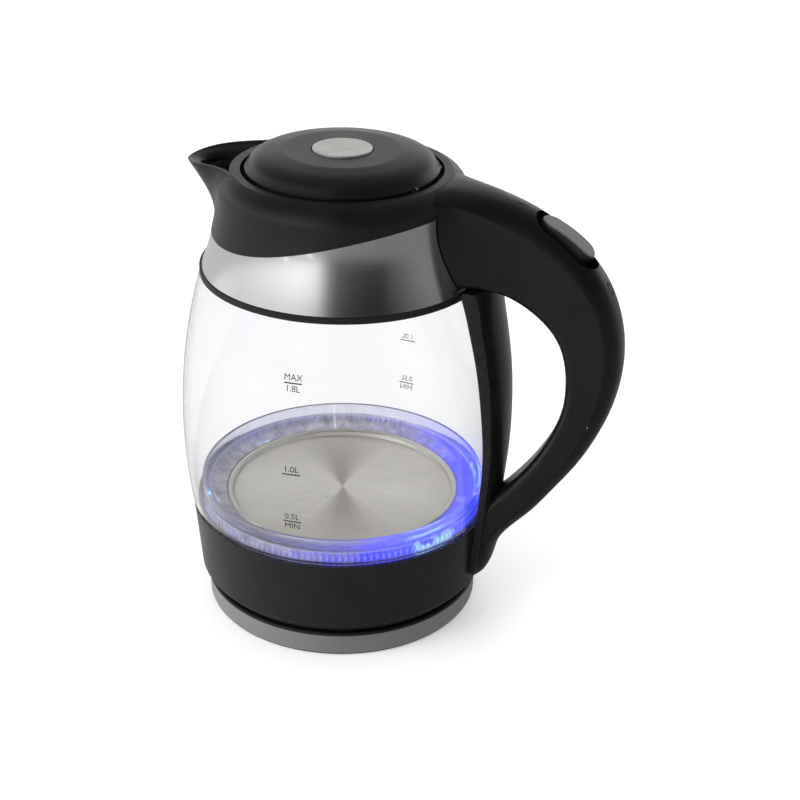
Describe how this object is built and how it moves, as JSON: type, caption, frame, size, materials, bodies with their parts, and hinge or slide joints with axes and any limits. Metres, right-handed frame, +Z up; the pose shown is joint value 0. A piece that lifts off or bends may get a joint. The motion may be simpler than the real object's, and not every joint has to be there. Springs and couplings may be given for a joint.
{
  "type": "electric kettle",
  "caption": "Electric kettle: bulging glass jug, steel and black collar, hinged lid with button, loop handle with rocker switch, lit ring round the heater, and a round cordless power base.",
  "frame": {"origin": "on the jug's axis, on the surface that the base stands on", "axes": "+Z up, +X towards the handle, -X towards the spout"},
  "size_m": [0.2239, 0.1626, 0.2427],
  "materials": {
    "base_plastic": "satin black",
    "ring_steel": "brushed, dark satin",
    "foot_rubber": "matt black",
    "screw_steel": "bright",
    "contact_brass": "bright",
    "inner_plastic": "matt black",
    "skirt_plastic": "satin black",
    "silicone": "translucent white",
    "gasket_rubber": "matt black",
    "plate_steel": "spun, satin",
    "spreader_aluminium": "plain",
    "element_steel": "plain",
    "clear_plastic": "clear, lit blue",
    "board": "circuit board",
    "led_lens": "lit",
    "bimetal": "plain",
    "glass": "clear",
    "band_steel": "satin",
    "collar_plastic": "satin black",
    "handle_plastic": "satin black",
    "strip_plastic": "satin black",
    "rocker_plastic": "gloss black",
    "lid_plastic": "satin black",
    "button_metal": "satin",
    "filter_steel": "woven"
  },
  "bodies": {
    "base": {"base_housing": "base_plastic", "base_trim_ring": "ring_steel", "base_bottom_cover": "base_plastic", "base_foot_ring": "foot_rubber", "base_screws": "screw_steel", "base_connector": "base_plastic", "base_contact_sleeves": "contact_brass"},
    "coupler": {"jug_connector": "inner_plastic", "jug_connector_contacts": "contact_brass"},
    "jug": {"jug_bottom_cover": "base_plastic", "jug_bottom_screws": "screw_steel", "jug_skirt": "skirt_plastic", "glass_lower_seal": "silicone", "heater_plate": "plate_steel", "heat_spreader": "spreader_aluminium", "heating_element": "element_steel", "plate_seal": "silicone", "light_ring": "clear_plastic", "plate_clamp": "inner_plastic", "led_board": "board", "leds": "led_lens", "dry_boil_control": "inner_plastic", "control_bimetals": "bimetal", "glass_body": "glass", "glass_gasket": "gasket_rubber", "steel_band": "band_steel", "spout_collar": "collar_plastic", "hinge_bracket": "screw_steel", "hinge_screws": "screw_steel", "hinge_pin": "screw_steel", "hinge_spring": "screw_steel", "handle_body": "handle_plastic", "handle_cover": "handle_plastic", "handle_strip": "strip_plastic", "rocker_pin": "screw_steel", "steam_switch": "inner_plastic", "steam_bimetal": "bimetal"},
    "lid": {"lid_cover": "lid_plastic", "lid_cup": "inner_plastic", "lid_screws": "screw_steel", "lid_seal": "silicone", "button_spring": "screw_steel"},
    "lid_button": {"lid_button": "button_metal"},
    "lid_latch": {"lid_latch": "inner_plastic"},
    "spout_filter": {"filter_frame": "inner_plastic", "filter_mesh": "filter_steel"},
    "rocker": {"rocker": "rocker_plastic"}
  },
  "joints": [
    {"name": "jug_lift", "type": "slide", "parent": "base", "child": "coupler", "axis": [0, 0, 1], "range_m": [0, 0.06]},
    {"name": "jug_turn", "type": "hinge", "parent": "coupler", "child": "jug", "pos_m": [0, 0, 0.02], "axis": [0, 0, 1], "continuous": true},
    {"name": "lid_hinge", "type": "hinge", "parent": "jug", "child": "lid", "pos_m": [0.04201, 0, 0.2321], "axis": [0, 1, 0], "range_deg": [0, 65]},
    {"name": "button_press", "type": "slide", "parent": "lid", "child": "lid_button", "axis": [0, 0, -1], "range_m": [0, 0.003], "stiffness_N_per_m": 300, "springref_m": -0.002, "deforming": ["button_spring"]},
    {"name": "latch_slide", "type": "slide", "parent": "lid", "child": "lid_latch", "axis": [1, 0, 0], "range_m": [0, 0.003]},
    {"name": "filter_slide", "type": "slide", "parent": "jug", "child": "spout_filter", "axis": [1, 0, 0], "range_m": [0, 0.012]},
    {"name": "rocker_pivot", "type": "hinge", "parent": "jug", "child": "rocker", "pos_m": [0.10973, 0, 0.20984], "axis": [0, 1, 0], "range_deg": [0, 14]}
  ],
  "couplings": [
    {"joint": "latch_slide", "follows": "button_press", "ratio": 1}
  ]
}
